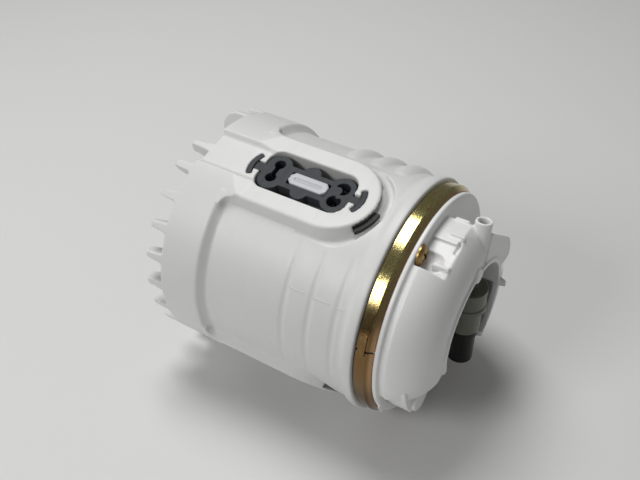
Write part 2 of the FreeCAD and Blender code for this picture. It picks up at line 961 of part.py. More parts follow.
def cover_outer():
    cover_x0 = pot_end_x + seal_t
    neck_r = cover_flange_r - cover_drop
    neck_x1 = band_x1 + 0.15
    profile = [
        (cover_x0, 0),
        (cover_x0, cover_flange_r),
        (cover_x0 + 0.5, cover_flange_r),
        (cover_x0 + 2.3, neck_r),
        (neck_x1, neck_r),
        (neck_x1, cover_rim_r),
        (cover_rim_x - 0.3, cover_rim_r),
        (cover_rim_x, cover_rim_r - 0.3),
        (floor_x, rim_groove_r + 0.1),
        ((floor_x + 0.8, rim_groove_r - 0.25), (dome_start_x - 0.6, rim_groove_r)),
    ]
    profile += dome_outline(0.0)
    profile += [(ring_x, dome_end_r - 0.2), (ring_x, 0)]
    return turned(profile)


def cover_inner():
    cover_x0 = pot_end_x + seal_t
    r = dome_start_r - cover_wall
    profile = [(cover_x0 - 1, 0), (cover_x0 - 1, r - 0.3), (floor_x - 0.5, r - 0.3)]
    profile += dome_outline(cover_wall)
    profile += [(ring_x - cover_wall, ring_r_in), (ring_x - cover_wall, 0)]
    return turned(profile)


def bulkhead():
    """The wall that closes the pot, with the foot valve's ports."""
    wall = ring(bulkhead_x0, bulkhead_x0 + bulkhead_t, dome_start_r - cover_wall + 0.5)
    reach = 3.0 * bulkhead_t + bulkhead_x0
    holes = [Part.makeCylinder(foot_stem_r + 0.1, reach, V(0, foot_y, foot_z), AXIS)]
    for k in range(4):
        angle = math.radians(45.0 + 90.0 * k)
        y = foot_y + foot_hole_ring * math.cos(angle)
        z = foot_z + foot_hole_ring * math.sin(angle)
        holes.append(Part.makeCylinder(foot_hole_r, reach, V(0, y, z), AXIS))
    return wall.cut(holes)


def hose_socket():
    """Short tube on the opening's rim, on a thicker foot."""
    height = socket_tip_r - socket_root_r
    tube = Part.makeCylinder(socket_r, height, V(socket_x, 0, socket_root_r), V(0, 0, 1))
    foot = block(socket_x - 3.6, guard_x0 + 0.5, -4.0, 4.0, socket_root_r, ring_r_out + 3.5)
    return at_angle(tube.fuse(foot), socket_deg)


def socket_bore():
    start = ring_r_in - 7.0
    bore = Part.makeCylinder(socket_bore_r, socket_tip_r - start + 1.0, V(socket_x, 0, start), V(0, 0, 1))
    return at_angle(bore, socket_deg)


def guard_plate():
    """Flat plate with rounded corners that stands on the opening's rim beside the socket."""
    outline = [
        (4.0, ring_r_in - 1.0),
        (7.0, 35.2),
        (8.4, 34.9),
        (26.2, 21.0),
        ((30.2, 16.0), (31.6, 10.4)),
        (31.6, 9.2),
        ((31.2, 8.3), (30.2, 8.0)),
        (21.0, 8.0),
    ]
    wire = Part.Wire(edges_of(outline, lambda y, z: V(guard_x0, y, z)))
    plate = Part.Face(wire).extrude(V(guard_t, 0, 0))
    plate = plate.cut(ring(guard_x0 - 1, guard_x0 + guard_t + 1, socket_root_r))
    web = sector(floor_x - 0.5, guard_x0 + 0.5, ring_r_out + 2.5, ring_r_out + 6.0, (-46.0, -42.0))
    return plate, web


def nib():
    points = [
        (ring_x - 0.5, ring_r_in + 0.2),
        (ring_x + 0.4, ring_r_in + 0.2),
        (ring_x + nib_length, ring_r_in + 0.8),
        (ring_x + 0.6, ring_r_in + 2.0),
        (ring_x - 0.5, ring_r_in + 1.9),
    ]
    return turned(points, 8.0, nib_deg - 4.0)


def lug():
    """Bayonet lug beside the low recess: a block clear of the flange, with a round hooked end."""
    body = sector(lug_x0, lug_x1, lug_r_in, lug_r, lug_degs)
    lean = math.radians(lug_degs[1])
    low = V(lug_x0, -lug_r * math.sin(lean), lug_r * math.cos(lean))
    high_deg = math.radians(lug_degs[0])
    high = V(lug_x0 + lug_lean, -lug_r * math.sin(high_deg), lug_r * math.cos(high_deg))
    inward = V(0, math.sin(lean), -math.cos(lean)) * (lug_r - lug_r_in + 4.0)
    back = V(-lug_lean - 2.0, 0, 0)
    wedge = Part.Face(Part.makePolygon([low, high + (high - low), high + (high - low) + back, low + back, low]))
    body = body.cut(wedge.extrude(inward))
    hook = Part.makeCylinder(5.6, lug_hook_t, V(lug_x1 - 0.2, 0, lug_r - 6.6), AXIS)
    hook = at_angle(hook, lug_degs[1] - 4.0)
    return body.fuse(hook)


def flange_tab():
    tab = block(band_x1 + 1.4, cover_rim_x + 0.4, -tab_half, tab_half, cover_rim_r - 3.0, tab_r)
    return at_angle(tab, tab_deg)


def rim_tab():
    """Small rounded tab on the opening's rim."""
    tab = Part.makeCylinder(rim_tab_r, 1.6, V(ring_x - 1.2, 0, ring_r_in + 1.2), AXIS)
    return at_angle(tab, rim_tab_deg)


def block_ribs():
    """Low ribs along the block and in the screw's channel."""
    made = []
    for deg, (x0, x1) in zip(block_rib_degs, block_rib_x):
        half = block_rib_t / 2.0
        made.append(at_angle(block(x0, x1, -half, half, block_r - 1.5, block_r + block_rib_height), deg))
    half = block_rib_t / 2.0 + 0.1
    x0, x1 = channel_rib_x
    low = screw_r - driver_r - 1.0
    made.append(at_angle(block(x0, x1, -half, half, low, channel_r + channel_rib_height), channel_rib_deg))
    return made


def slit():
    return sector(slit_x[0], slit_x[1], channel_r - slit_depth, dome_start_r, slit_degs)


def screw_sleeve(deg, x1):
    low = pot_end_x + seal_t + 0.2
    solid = Part.makeCylinder(boss_r - 0.2, x1 - low, V(low, 0, screw_r - 0.6), AXIS)
    return at_angle(solid.common(ring(low, x1, dome_start_r - 0.1)), deg)


def screw_hole(deg):
    hole = Part.makeCylinder(screw_shank_r + 0.1, floor_x + 10.0, V(-5.0, 0, screw_r), AXIS)
    return at_angle(hole, deg)


def end_cover():
    outer = cover_outer()
    inner = cover_inner()
    for cut in recess_sectors(floor_x, 0.0) + [driver_channel(floor_x, 0.0)]:
        outer = outer.cut(cut)
    for cut in recess_sectors(floor_x - cover_wall, cover_wall) + [driver_channel(floor_x - cover_wall, 1.8)]:
        inner = inner.cut(cut)
    cover = outer.cut(inner)
    cover = cover.cut(ring(floor_x - 1.0, 40.0, ring_r_in))
    cover = cover.cut(sector(low_ring_x, 40.0, 10.0, ring_r_out + 1.0, low_recess))
    plate, web = guard_plate()
    adds = [bulkhead(), hose_socket(), plate, web, nib(), lug(), flange_tab(), rim_tab()] + block_ribs()
    adds += [screw_sleeve(deg, floor_x - 1.0) for deg in screw_degs]
    cover = cover.multiFuse(adds)
    cuts = [socket_bore(), slit()] + [screw_hole(deg) for deg in screw_degs]
    return cover.cut(cuts).removeSplitter()


def cover_seal():
    return ring(pot_end_x, pot_end_x + seal_t, pot_flange_r - 0.4, pot_bore_r + 0.2)


def cover_screw(deg):
    """Pan-head screw with a cross recess."""
    head = turned(
        [
            (floor_x, 0),
            (floor_x, screw_head_r),
            (floor_x + 0.7, screw_head_r),
            ((floor_x + screw_head_t - 0.4, screw_head_r - 1.2), (floor_x + screw_head_t, 0)),
        ]
    )
    shank = Part.makeCylinder(screw_shank_r - 0.1, screw_length, V(floor_x - screw_length, 0, 0), AXIS)
    arm = 2.1
    half = 0.45
    bottom = floor_x + 0.7
    slots = [
        block(bottom, bottom + screw_head_t, -arm, arm, -half, half),
        block(bottom, bottom + screw_head_t, -half, half, -arm, arm),
    ]
    screw = head.fuse(shank).cut(slots)
    screw.translate(V(0, 0, screw_r))
    return at_angle(screw, deg)


# Jet pump
def upright(r, z0, z1):
    return Part.makeCylinder(r, z1 - z0, V(jet_x, jet_y, z0), V(0, 0, 1))


def jet_pump_body():
    """Olive-grey body that stands across the opening, on a foot from the bulkhead."""
    flange_low = jet_flange_z - jet_flange_t
    neck_top = math.sqrt(ring_r_in ** 2 - (jet_y + jet_neck_r) ** 2) - 0.3
    foot_x0 = bulkhead_x0 + bulkhead_t
    pieces = [
        upright(jet_flange_r, flange_low, jet_flange_z),
        upright(jet_tail_r, jet_tail_z, flange_low + 0.5),
        upright(jet_neck_r, jet_z1 - 0.5, neck_top),
        Part.makeCylinder(jet_foot_r, jet_x - foot_x0, V(foot_x0, jet_y, 0), AXIS),
    ]
    body = upright(jet_r, jet_flange_z - 0.5, jet_z1).multiFuse(pieces)
    body = body.cut(upright(jet_bore_r, jet_tail_z - 1.0, neck_top - 6.0))
    return body.removeSplitter()


def jet_sleeve():
    """Black sleeve on the jet pump's tail."""
    body = upright(sleeve_black_r, sleeve_black_z, jet_tail_z)
    collar = upright(sleeve_black_r + 0.7, jet_tail_z - 2.5, jet_tail_z)
    return body.fuse(collar).cut(upright(sleeve_black_r - sleeve_black_t, sleeve_black_z - 1, jet_tail_z + 1)).removeSplitter()


# Motor
def motor_can():
    """Steel can, rolled in over the parts at both ends."""
    r_in = can_r - can_t
    lip_r_in = r_in - crimp_depth
    profile = [
        (can_x0 - can_t, lip_r_in),
        (can_x0 - can_t, can_r - 0.8),
        (can_x0 - can_t + 0.8, can_r),
        (can_x1 + can_t - 0.8, can_r),
        (can_x1 + can_t, can_r - 0.8),
        (can_x1 + can_t, lip_r_in),
        (can_x1, lip_r_in),
        (can_x1, r_in),
        (can_x0, r_in),
        (can_x0, lip_r_in),
    ]
    return turned(profile)


def magnet(middle_deg):
    degs = (middle_deg - magnet_half_deg, middle_deg + magnet_half_deg)
    return sector(magnet_x0, magnet_x1, magnet_r_in, can_r - can_t, degs)


def bore_at(x0, x1, y, z, r):
    return Part.makeCylinder(r, x1 - x0, V(x0, y, z), AXIS)


def outlet_spout():
    """Hose spigot with sawtooth barbs at its tip."""
    points = [(can_x0, 0), (outlet_tip_x, 0)]
    for k in range(barb_count):
        x = outlet_tip_x + barb_pitch * k
        points += [(x, barb_root_r), (x + barb_pitch - 0.4, outlet_r), (x + barb_pitch, outlet_r)]
    points.append((can_x0, outlet_r))
    spout = turned(points)
    spout.translate(V(0, 0, outlet_offset))
    return spout


def outlet_cap():
    """Plastic cap: outlet spigot with barbs, relief bore, brush holders and bush seat."""
    r_plug = can_r - can_t
    neck_r = r_plug - crimp_depth - 0.1
    body = ring(can_x0, cap_plug_x1, r_plug)
    neck = ring(can_x0 - can_t - cap_shoulder_t, can_x0 + 0.1, neck_r)
    holder = ring(cap_plug_x1 - 0.1, brush_ring_x1, r_plug, commutator_r + 1.2)
    spout = outlet_spout()
    relief = bore_at(can_x0 - can_t - cap_shoulder_t - 2.0, can_x0, 0, relief_offset, relief_bore_r + 1.6)
    cap = body.multiFuse([neck, holder, spout, relief])
    seat_x = valve_seat_x()
    cuts = [
        bore_at(outlet_tip_x - 1, seat_x, 0, outlet_offset, outlet_bore_r),
        bore_at(seat_x - 1, brush_ring_x1 + 1, 0, outlet_offset, seat_bore_r),
        bore_at(outlet_tip_x, relief_seat_x, 0, relief_offset, relief_bore_r),
        bore_at(relief_seat_x - 1, brush_ring_x1 + 1, 0, relief_offset, 1.2),
        ring(cap_plug_x1 - bush_length, cap_plug_x1 + 1, bush_r),
    ]
    bush_x0 = cap_plug_x1 - bush_length
    cuts.append(ring(bush_x0 - 1.0, bush_x0 + 0.1, shaft_r + 0.6))
    half = brush_width / 2.0 + 0.1
    cuts.append(block(brush_x0 - 0.1, brush_x1 + 0.1, -r_plug + 0.6, r_plug - 0.6, -half, half))
    for side in (-1, 1):
        y = side * terminal_y
        w = terminal_width / 2.0
        t = terminal_t / 2.0
        cuts.append(block(terminal_tip_x, can_x0 + 3.0, y - t, y + t, -w, w))
    return cap.cut(cuts).removeSplitter()


def bush(x0, length):
    return ring(x0, x0 + length, bush_r, shaft_r + shaft_running)


def brush(side):
    half = brush_width / 2.0
    r0 = commutator_r + 0.1
    y0, y1 = sorted((side * r0, side * brush_r1))
    return block(brush_x0, brush_x1, y0, y1, -half, half)


def brush_spring(side):
    """Coil spring behind a brush, drawn as its sleeve of close turns."""
    middle = V((brush_x0 + brush_x1) / 2.0, side * brush_r1, 0)
    length = can_r - can_t - 0.6 - brush_r1
    axis = V(0, side, 0)
    outer = Part.makeCylinder(brush_spring_r, length, middle, axis)
    return outer.cut(Part.makeCylinder(brush_spring_r - 2 * spring_wire_r, length, middle, axis))


def terminal(side):
    y = side * terminal_y
    t = terminal_t / 2.0
    w = terminal_width / 2.0
    base_x = can_x0 + 3.0
    blade = block(terminal_tip_x + 1.2, base_x, y - t, y + t, -w, w)
    tip = block(terminal_tip_x, terminal_tip_x + 1.2, y - t, y + t, -w + 0.8, w - 0.8)
    return blade.fuse(tip).removeSplitter()


# Rotor
def motor_shaft():
    x0 = cap_plug_x1 - bush_length + 0.3
    return ring(x0, chamber_x1 - impeller_gap - 0.4, shaft_r)


def commutator():
    body = ring(commutator_x0, commutator_x1, commutator_r, shaft_r)
    slots = []
    for k in range(core_slots):
        cut = block(commutator_x0 - 1, commutator_x1 - 1.2, -0.25, 0.25, commutator_r - 0.8, commutator_r + 1)
        slots.append(at_angle(cut, 360.0 / core_slots * k))
    return body.cut(slots)


def armature_core():
    """Stack of slotted laminations on the shaft."""
    body = ring(core_x0, core_x1, core_r, shaft_r)
    slots = []
    for k in range(core_slots):
        half = slot_width / 2.0
        cut = block(core_x0 - 1, core_x1 + 1, -half, half, core_r - slot_depth, core_r + 1)
        slots.append(at_angle(cut, 360.0 / core_slots * (k + 0.5)))
    return body.cut(slots)


def armature_winding():
    """End turns at both ends of the core, joined by the bundles of wire in its slots."""
    inner_r = shaft_r + 0.6
    profile = [
        (core_x0 - winding_x, inner_r),
        (core_x0 - winding_x, winding_r - 2.0),
        (core_x0 - winding_x + 1.4, winding_r),
        (core_x0, winding_r),
        (core_x0, inner_r),
    ]
    middle = (core_x0 + core_x1) / 2.0
    mirrored = [(2 * middle - x, r) for x, r in profile]
    half = slot_width / 2.0 - 0.1
    bundles = []
    for k in range(core_slots):
        bundle = block(core_x0 - 0.5, core_x1 + 0.5, -half, half, core_r - slot_depth + 0.1, winding_r - 0.2)
        bundles.append(at_angle(bundle, 360.0 / core_slots * (k + 0.5)))
    return turned(profile).multiFuse([turned(mirrored)] + bundles).removeSplitter()


def impeller():
    x1 = chamber_x1 - impeller_gap
    x0 = x1 - impeller_t
    disc = ring(x0, x1, impeller_r, shaft_r)
    cuts = []
    for k in range(vane_count):
        half = vane_slot / 2.0
        cut = block(x0 - 1, x1 + 1, -half, half, impeller_r - vane_depth, impeller_r + 1)
        cuts.append(at_angle(cut, 360.0 / vane_count * k))
    return disc.cut(cuts)


# Pump chamber
def pump_plate():
    x1 = chamber_x1 - impeller_t - 2 * impeller_gap
    r = can_r - can_t
    plate = ring(chamber_x0, x1, r)
    channel_r = impeller_r - vane_depth / 2.0
    cuts = [
        ring(chamber_x0 - 1, x1 + 1, shaft_r + 0.5),
        ring(chamber_x0 - 1, chamber_x0 + inlet_bush_length, bush_r),
        bore_at(chamber_x0 - 1, x1 + 1, 0, channel_r, 1.2),
        sector(x1 - 1.0, x1 + 1, channel_r - 1.2, channel_r + 1.2, (0, 320)),
    ]
    return plate.cut(cuts)


def inlet_plate():
    """Lower half of the pump chamber with the inlet stub."""
    x0 = chamber_x1 - impeller_t - 2 * impeller_gap
    r = can_r - can_t
    plate = ring(x0, can_x1, r)
    neck = ring(can_x1 - 0.1, can_x1 + can_t + 1.2, r - crimp_depth - 0.1)
    stub = bore_at(can_x1, can_x1 + can_t + inlet_length, 0, inlet_offset, inlet_r)
    body = plate.multiFuse([neck, stub])
    channel_r = impeller_r - vane_depth / 2.0
    cuts = [
        ring(x0 - 1, chamber_x1, impeller_r + impeller_rim_gap),
        sector(chamber_x1 - 1, chamber_x1 + 1.0, channel_r - 1.2, channel_r + 1.2, (0, 320)),
        bore_at(chamber_x1 - 1, chamber_x1 + 3.0, 0, channel_r - 1.5, 1.3),
        bore_at(chamber_x1 + 2.0, can_x1 + 30, 0, inlet_offset, inlet_bore_r),
    ]
    return body.cut(cuts).removeSplitter()


# Valves
def valve_seat_x():
    return valve_head_x + 1.2


def check_valve():
    """Poppet on its seat in the outlet; its stem slides in the guide."""
    seat_x = valve_seat_x()
    guide_x0 = valve_head_x - valve_spring_length - guide_t
    head = bore_at(valve_head_x, seat_x, 0, outlet_offset, valve_head_r)
    stem = bore_at(guide_x0 + 0.2, valve_head_x + 0.1, 0, outlet_offset, valve_stem_r)
    return head.fuse(stem).removeSplitter()


def coil_sleeve(x0, x1, z, r):
    return bore_at(x0, x1, 0, z, r).cut(bore_at(x0, x1, 0, z, r - 2 * spring_wire_r))


def check_spring():
    return coil_sleeve(valve_head_x - valve_spring_length, valve_head_x, outlet_offset, 2.0)


def guide(x1, z, r_out, r_in):
    """Ring pressed into a bore behind a valve's spring, with four flow holes."""
    x0 = x1 - guide_t
    body = bore_at(x0, x1, 0, z, r_out).cut(bore_at(x0, x1, 0, z, r_in))
    holes = []
    for k in range(4):
        angle = math.radians(45.0 + 90.0 * k)
        r = (r_out + r_in) / 2.0
        holes.append(bore_at(x0 - 1, x1 + 1, r * math.cos(angle), z + r * math.sin(angle), (r_out - r_in) / 4.0))
    return body.cut(holes)


def outlet_guide():
    x1 = valve_head_x - valve_spring_length
    return guide(x1, outlet_offset, outlet_bore_r, valve_stem_r + valve_running)


def relief_valve():
    x1 = relief_seat_x
    return bore_at(x1 - relief_length, x1, 0, relief_offset, relief_bore_r - valve_running)


def relief_spring():
    x1 = relief_seat_x - relief_length
    return coil_sleeve(x1 - relief_spring_length, x1, relief_offset, 1.8)


def relief_guide():
    x1 = relief_seat_x - relief_length - relief_spring_length
    return guide(x1, relief_offset, relief_bore_r, 0.6)


# Small parts round the pump
def can_ring(x0):
    """Rubber ring that holds the can in the carrier's sleeve."""
    return ring(x0, x0 + can_ring_width, sleeve_r_in - ring_running, can_r + ring_running)


def inlet_strainer():
    """Mesh cup on the inlet stub, with ribs along its wall."""
    x0 = can_x1 + can_t + strainer_stand
    floor_t = 1.5 * strainer_wall
    body = bore_at(x0, strainer_end_x, 0, inlet_offset, strainer_r)
    hollow = bore_at(x0 + floor_t, strainer_end_x - 1.0, 0, inlet_offset, strainer_r - strainer_wall)
    ribs_made = []
    for k in range(strainer_rib_count):
        angle = math.radians(360.0 / strainer_rib_count * k)
        y = strainer_r * math.cos(angle)
        z = inlet_offset + strainer_r * math.sin(angle)
        ribs_made.append(Part.makeCylinder(0.6, strainer_end_x - x0, V(x0, y, z), AXIS))
    cup = body.multiFuse(ribs_made).cut(hollow)
    mouth = bore_at(x0 - 1.0, x0 + floor_t + 0.8, 0, inlet_offset, inlet_r + 0.02)
    return cup.cut(mouth).removeSplitter()


def foot_valve():
    """Rubber mushroom on the pot's side of the bulkhead."""
    disc = bore_at(bulkhead_x0 - foot_disc_t, bulkhead_x0, foot_y, foot_z, foot_disc_r)
    tail_x = bulkhead_x0 + bulkhead_t + 0.2
    stem = bore_at(bulkhead_x0 - 0.1, tail_x + 0.1, foot_y, foot_z, foot_stem_r)
    tail = Part.makeCone(foot_stem_r + 0.6, 0.6, foot_tail_length, V(tail_x, foot_y, foot_z), AXIS)
    return disc.multiFuse([stem, tail]).removeSplitter()


def main():
    os.makedirs("parts", exist_ok=True)
    save(reservoir_housing(), "reservoir_housing")
    for number, deg in enumerate(frame_degs(), 1):
        save(damper_pad(deg), "damper_pad_%d" % number)
    save(pump_carrier(), "pump_carrier")
    save(clamp_band(), "clamp_band")
    save(end_cover(), "end_cover")
    save(cover_seal(), "cover_seal")
    for number, deg in enumerate(screw_degs, 1):
        save(cover_screw(deg), "cover_screw_%d" % number)
    save(jet_pump_body(), "jet_pump_body")
    save(jet_sleeve(), "jet_sleeve")
    save_pump(motor_can(), "motor_can")
    save_pump(magnet(0.0), "magnet_1")
    save_pump(magnet(180.0), "magnet_2")
    save_pump(outlet_cap(), "outlet_cap")
    save_pump(bush(cap_plug_x1 - bush_length, bush_length), "outlet_end_bush")
    save_pump(bush(chamber_x0, inlet_bush_length), "inlet_end_bush")
    for number, side in enumerate((-1, 1), 1):
        save_pump(brush(side), "brush_%d" % number)
        save_pump(brush_spring(side), "brush_spring_%d" % number)
        save_pump(terminal(side), "terminal_%d" % number)
    save_pump(motor_shaft(), "motor_shaft")
    save_pump(commutator(), "commutator")
    save_pump(armature_core(), "armature_core")
    save_pump(armature_winding(), "armature_winding")
    save_pump(impeller(), "impeller")
    save_pump(pump_plate(), "pump_plate")
    save_pump(inlet_plate(), "inlet_plate")
    save_pump(check_valve(), "check_valve")
    save_pump(check_spring(), "check_spring")
    save_pump(outlet_guide(), "outlet_guide")
    save_pump(relief_valve(), "relief_valve")
    save_pump(relief_spring(), "relief_spring")
    save_pump(relief_guide(), "relief_guide")
    save_pump(can_ring(can_ring_upper_x), "can_ring_upper")
    save_pump(can_ring(can_ring_lower_x), "can_ring_lower")
    save_pump(inlet_strainer(), "inlet_strainer")
    save(foot_valve(), "foot_valve")


main()
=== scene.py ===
"""In-tank fuel pump in its reservoir pot, lying on its side on a pale floor."""

import math

import bmesh
import bpy
import numpy as np
from mathutils import Matrix, Vector


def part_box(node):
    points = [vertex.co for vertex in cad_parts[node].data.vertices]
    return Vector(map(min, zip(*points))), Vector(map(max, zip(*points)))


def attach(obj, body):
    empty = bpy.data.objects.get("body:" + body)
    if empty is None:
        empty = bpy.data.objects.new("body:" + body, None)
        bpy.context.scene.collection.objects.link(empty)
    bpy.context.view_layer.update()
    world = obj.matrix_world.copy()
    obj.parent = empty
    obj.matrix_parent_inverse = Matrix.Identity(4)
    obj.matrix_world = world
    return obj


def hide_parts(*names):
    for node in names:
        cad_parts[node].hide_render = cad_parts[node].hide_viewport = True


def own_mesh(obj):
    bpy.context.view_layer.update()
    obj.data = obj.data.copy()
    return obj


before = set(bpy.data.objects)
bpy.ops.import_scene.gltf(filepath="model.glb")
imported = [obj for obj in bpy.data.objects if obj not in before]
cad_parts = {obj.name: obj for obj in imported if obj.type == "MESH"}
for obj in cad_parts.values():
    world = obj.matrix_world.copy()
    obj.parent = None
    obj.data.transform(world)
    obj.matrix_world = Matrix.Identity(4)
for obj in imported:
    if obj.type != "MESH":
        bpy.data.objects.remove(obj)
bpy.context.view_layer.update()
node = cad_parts

# Camera
# The view is from above the cover end, with the pot's axis running away to the left.
# A 45 mm lens on a 36 mm wide sensor, no shift.
camera_azimuth = math.radians(32.389)
camera_elevation = math.radians(40.041)
camera_roll = math.radians(-0.372)
camera_place = Vector((0.08749, -0.20279, 0.21066))
sensor_width_mm = 36.0
lens_mm = 45.0
nearest_in_view = 0.01

camera_data = bpy.data.cameras.new("camera")
camera_data.sensor_width = sensor_width_mm
camera_data.lens = lens_mm
camera_data.clip_start = nearest_in_view
camera = bpy.data.objects.new("camera", camera_data)
turn = Matrix.Rotation(camera_azimuth, 4, "Z")
tilt = Matrix.Rotation(math.pi / 2.0 - camera_elevation, 4, "X")
roll = Matrix.Rotation(camera_roll, 4, "Z")
camera.matrix_world = Matrix.Translation(camera_place) @ turn @ tilt @ roll
bpy.context.scene.collection.objects.link(camera)
bpy.context.scene.camera = camera

# Floor and light
# A pale matt floor whose edge is far outside the camera's view, two soft lamps high on the left,
# where the photograph shows them mirrored in the clamp band, and a weak white world.
floor_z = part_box("reservoir_housing")[0].z
floor_half = 3.0
floor_colour = (0.74, 0.74, 0.73, 1.0)
floor_roughness = 0.75
world_colour = (1.0, 1.0, 1.0, 1.0)
world_strength = 0.16
lamp_distance = 0.90


def new_object(name, vertices, faces, smooth=True):
    """A mesh object at the origin, from rows of points and rows of corner numbers for its faces."""
    mesh = bpy.data.meshes.new(name)
    mesh.from_pydata(np.asarray(vertices, float).tolist(), [], [tuple(f) for f in faces])
    mesh.polygons.foreach_set("use_smooth", [smooth] * len(mesh.polygons))
    mesh.update()
    obj = bpy.data.objects.new(name, mesh)
    bpy.context.scene.collection.objects.link(obj)
    return obj


def new_material(name):
    """An empty Principled material; returns the material, its tree and its shader."""
    material = bpy.data.materials.new(name)
    material.use_nodes = True
    return material, material.node_tree, material.node_tree.nodes["Principled BSDF"]


def give(obj, material):
    """Puts one material on every face of an object."""
    obj.data.materials.clear()
    obj.data.materials.append(material)


floor_corners = [
    (-floor_half, -floor_half, floor_z),
    (floor_half, -floor_half, floor_z),
    (floor_half, floor_half, floor_z),
    (-floor_half, floor_half, floor_z),
]
floor = new_object("floor", floor_corners, [(0, 1, 2, 3)], smooth=False)
floor_paint, tree, shader = new_material("floor_paint")
shader.inputs["Base Color"].default_value = floor_colour
shader.inputs["Roughness"].default_value = floor_roughness
give(floor, floor_paint)

world = bpy.data.worlds.new("studio")
world.use_nodes = True
sky = world.node_tree.nodes["Background"]
sky.inputs["Color"].default_value = world_colour
sky.inputs["Strength"].default_value = world_strength
bpy.context.scene.world = world
bpy.context.scene.view_settings.view_transform = "Standard"


def soft_lamp(name, way, size, power):
    """A square area lamp at the lamps' distance along a direction, turned to face the part."""
    data = bpy.data.lights.new(name, "AREA")
    data.size = size
    data.energy = power
    lamp = bpy.data.objects.new(name, data)
    lamp.location = Vector(way).normalized() * lamp_distance
    lamp.rotation_euler = (-lamp.location).to_track_quat("-Z", "Y").to_euler()
    bpy.context.scene.collection.objects.link(lamp)


soft_lamp("lamp_overhead", way=(-0.32, 0.15, 0.94), size=0.40, power=4.6)
soft_lamp("lamp_side", way=(-0.33, -0.75, 0.57), size=0.29, power=2.5)

# Reservoir pot
# One white acetal moulding, glossy but not polished, slightly see-through at its edges. It has a
# faint mottle, fine scuffs and the dull grain of the mould, and every corner is a little round.
mottle_scale = 34.0
mottle_share = 0.5
scuff_stretch = (520.0, 90.0, 130.0)
scuff_sharpness = 5.0
scuff_dulling = 0.14
grain_scale = 1900.0
grain_depth = 0.0002
soak_radius = (1.0, 1.0, 0.9)
soak_depth = 0.0009


def socket(group, name, way, kind):
    """Adds one named input or output to a node group."""
    group.interface.new_socket(name=name, in_out=way, socket_type=kind)


def place(tree, kind, **inputs):
    """Adds a node and sets the named inputs on it; Noise_Scale stands for the input Noise Scale."""
    made = tree.nodes.new(kind)
    for name, value in inputs.items():
        made.inputs[name.replace("_", " ")].default_value = value
    return made


def maths(tree, operation, a, b=None):
    """One Math node; a and b are sockets or numbers."""
    made = tree.nodes.new("ShaderNodeMath")
    made.operation = operation
    for index, value in enumerate((a, b)):
        if isinstance(value, float):
            made.inputs[index].default_value = value
        elif value is not None:
            tree.links.new(value, made.inputs[index])
    return made.outputs[0]


def blended(tree, share, first, second):
    """Two colours mixed by a share between 0 and 1; each colour is a socket or a plain value."""
    made = tree.nodes.new("ShaderNodeMix")
    made.data_type = "RGBA"
    tree.links.new(share, made.inputs["Factor"])
    for name, colour in (("A", first), ("B", second)):
        if isinstance(colour, tuple):
            made.inputs[name].default_value = colour
        else:
            tree.links.new(colour, made.inputs[name])
    return made.outputs["Result"]


def moulded_plastic_group():
    """Mottle, scuffs and grain of a moulded plastic, out of three sizes of noise.

    Colour is the light colour mixed with the dark one by half the mottle plus the scuffs' noise
    to the fifth power. Roughness is Gloss, give or take a share of the same noise. Normal is
    bumped by the grain.
    """
    group = bpy.data.node_groups.new("moulded_plastic", "ShaderNodeTree")
    socket(group, "Light", "INPUT", "NodeSocketColor")
    socket(group, "Dark", "INPUT", "NodeSocketColor")
    socket(group, "Gloss", "INPUT", "NodeSocketFloat")
    socket(group, "Grain", "INPUT", "NodeSocketFloat")
    socket(group, "Colour", "OUTPUT", "NodeSocketColor")
    socket(group, "Roughness", "OUTPUT", "NodeSocketFloat")
    socket(group, "Normal", "OUTPUT", "NodeSocketVector")
    start = group.nodes.new("NodeGroupInput")
    end = group.nodes.new("NodeGroupOutput")
    where = group.nodes.new("ShaderNodeTexCoord").outputs["Object"]
    links = group.links

    mottle = place(group, "ShaderNodeTexNoise", Scale=mottle_scale, Detail=3.0)
    links.new(where, mottle.inputs["Vector"])
    stretched = place(group, "ShaderNodeMapping", Scale=scuff_stretch)
    links.new(where, stretched.inputs["Vector"])
    scuff = place(group, "ShaderNodeTexNoise", Scale=1.0, Detail=4.0)
    links.new(stretched.outputs["Vector"], scuff.inputs["Vector"])
    grain = place(group, "ShaderNodeTexNoise", Scale=grain_scale, Detail=2.0)
    links.new(where, grain.inputs["Vector"])

    scuffed = maths(group, "POWER", scuff.outputs["Fac"], scuff_sharpness)
    share = maths(group, "ADD", maths(group, "MULTIPLY", mottle.outputs["Fac"], mottle_share), scuffed)
    colour = blended(group, share, start.outputs["Light"], start.outputs["Dark"])
    links.new(colour, end.inputs["Colour"])
    dulled = maths(group, "SUBTRACT", scuff.outputs["Fac"], 0.5)
    dulled = maths(group, "MULTIPLY", dulled, scuff_dulling)
    links.new(maths(group, "ADD", start.outputs["Gloss"], dulled), end.inputs["Roughness"])
    bump = place(group, "ShaderNodeBump", Distance=grain_depth)
    links.new(start.outputs["Grain"], bump.inputs["Strength"])
    links.new(grain.outputs["Fac"], bump.inputs["Height"])
    links.new(bump.outputs["Normal"], end.inputs["Normal"])
    return group


plastic_group = moulded_plastic_group()


def finished_by(group, name, **inputs):
    """A material whose colour, roughness and normal come from a group; returns it and its shader."""
    material, tree, shader = new_material(name)
    used = tree.nodes.new("ShaderNodeGroup")
    used.node_tree = group
    for label, value in inputs.items():
        used.inputs[label].default_value = value
    tree.links.new(used.outputs["Colour"], shader.inputs["Base Color"])
    tree.links.new(used.outputs["Roughness"], shader.inputs["Roughness"])
    tree.links.new(used.outputs["Normal"], shader.inputs["Normal"])
    return material, shader


